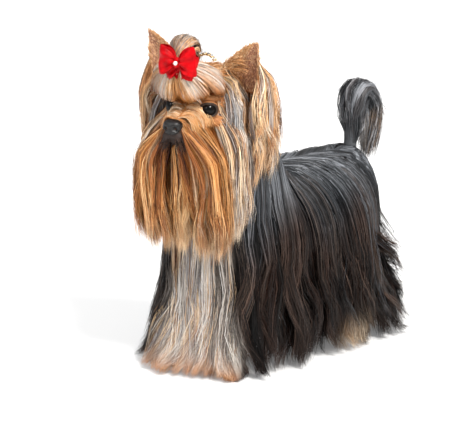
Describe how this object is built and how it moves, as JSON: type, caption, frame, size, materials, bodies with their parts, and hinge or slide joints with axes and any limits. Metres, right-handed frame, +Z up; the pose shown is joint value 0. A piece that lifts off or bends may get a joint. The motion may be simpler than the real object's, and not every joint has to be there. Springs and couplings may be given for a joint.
{
  "type": "yorkshire terrier",
  "caption": "Life-size still model of a standing Yorkshire terrier in full show coat, with a red bow and a jewelled clip.",
  "frame": {"origin": "on the floor, under the middle of the whole model's box", "axes": "the dog faces -Y, its left side is +X, +Z is up"},
  "size_m": [0.147, 0.3462, 0.355],
  "materials": {
    "steel_coat": "long silky dark steel blue hair",
    "black_coat": "long silky brown-black hair",
    "tan_coat": "silky tan hair, short on the face and feet",
    "gold_coat": "long silky golden hair",
    "silver_coat": "long silky silver beige hair",
    "nose_leather": "moist black nose leather",
    "eye": "wet dark brown eye",
    "red_satin": "red satin ribbon",
    "pearl": "white pearl lustre",
    "clip_metal": "polished silver-coloured metal",
    "crystal": "clear faceted stones"
  },
  "bodies": {
    "root": {"head": "tan_coat", "muzzle": "tan_coat", "nose": "nose_leather", "eye_left": "eye", "eye_right": "eye", "ear_left": "tan_coat", "ear_right": "tan_coat", "ear_fringe_left": "gold_coat", "ear_fringe_right": "gold_coat", "cheek_fall_left": "gold_coat", "cheek_fall_right": "gold_coat", "moustache_left": "tan_coat", "moustache_right": "tan_coat", "beard": "tan_coat", "forelock": "gold_coat", "topknot": "gold_coat", "neck": "steel_coat", "trunk": "steel_coat", "leg_front_left": "silver_coat", "leg_front_right": "silver_coat", "leg_hind_left": "black_coat", "leg_hind_right": "black_coat", "skirt_left": "black_coat", "skirt_right": "black_coat", "paw_front_left": "tan_coat", "paw_front_right": "tan_coat", "paw_hind_left": "tan_coat", "paw_hind_right": "tan_coat", "tail": "steel_coat", "tail_plume": "black_coat", "bow_knot": "red_satin", "bow_loop_left": "red_satin", "bow_loop_right": "red_satin", "bow_end_left": "red_satin", "bow_end_right": "red_satin", "bow_pearl": "pearl", "clip_bar": "clip_metal", "clip_stone_1": "crystal", "clip_stone_2": "crystal", "clip_stone_3": "crystal", "clip_stone_4": "crystal", "clip_stone_5": "crystal"}
  },
  "joints": []
}
